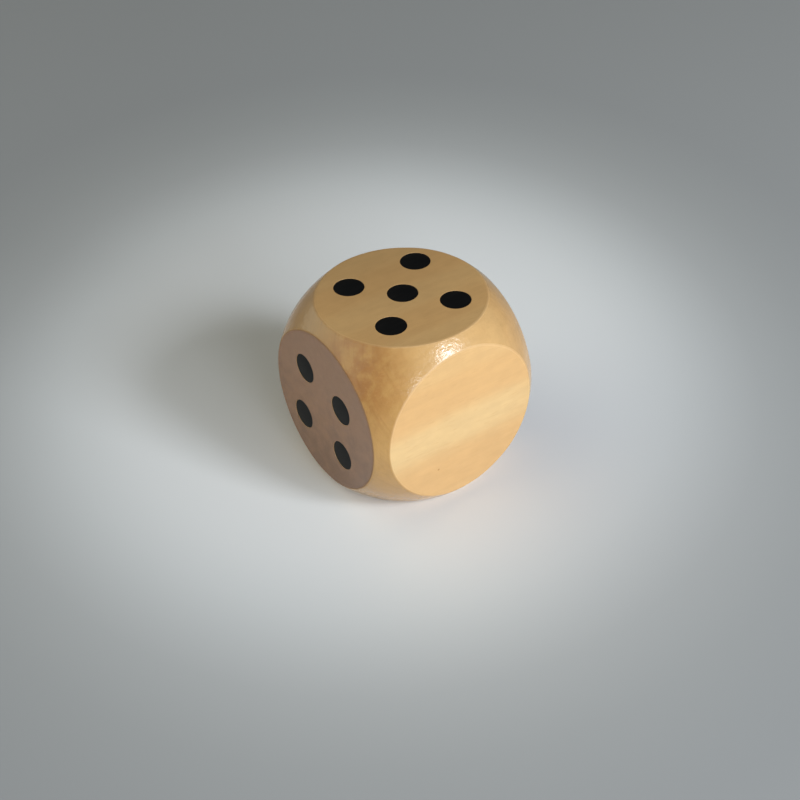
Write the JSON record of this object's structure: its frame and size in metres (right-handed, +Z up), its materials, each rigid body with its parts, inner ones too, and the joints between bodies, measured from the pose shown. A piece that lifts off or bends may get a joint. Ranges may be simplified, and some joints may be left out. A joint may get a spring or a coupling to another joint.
{
  "type": "wooden die",
  "caption": "Wooden die with ball-turned corners and round flats: printed black pips mark every face but one, which is left blank.",
  "frame": {"origin": "centre of the flat that the die stands on (the two)", "axes": "+Z up, out of the five; -Y out of the four, which is the front; +X out of the blank face; the wood's fibres run along Y"},
  "size_m": [0.04, 0.04, 0.04],
  "materials": {
    "wood": "pale close-grained hardwood under clear gloss lacquer",
    "ink": "black printing ink, satin"
  },
  "bodies": {
    "root": {"body": "wood", "pips_two": "ink", "pips_three": "ink", "pips_four": "ink", "pips_five": "ink", "pips_six": "ink"}
  },
  "joints": []
}
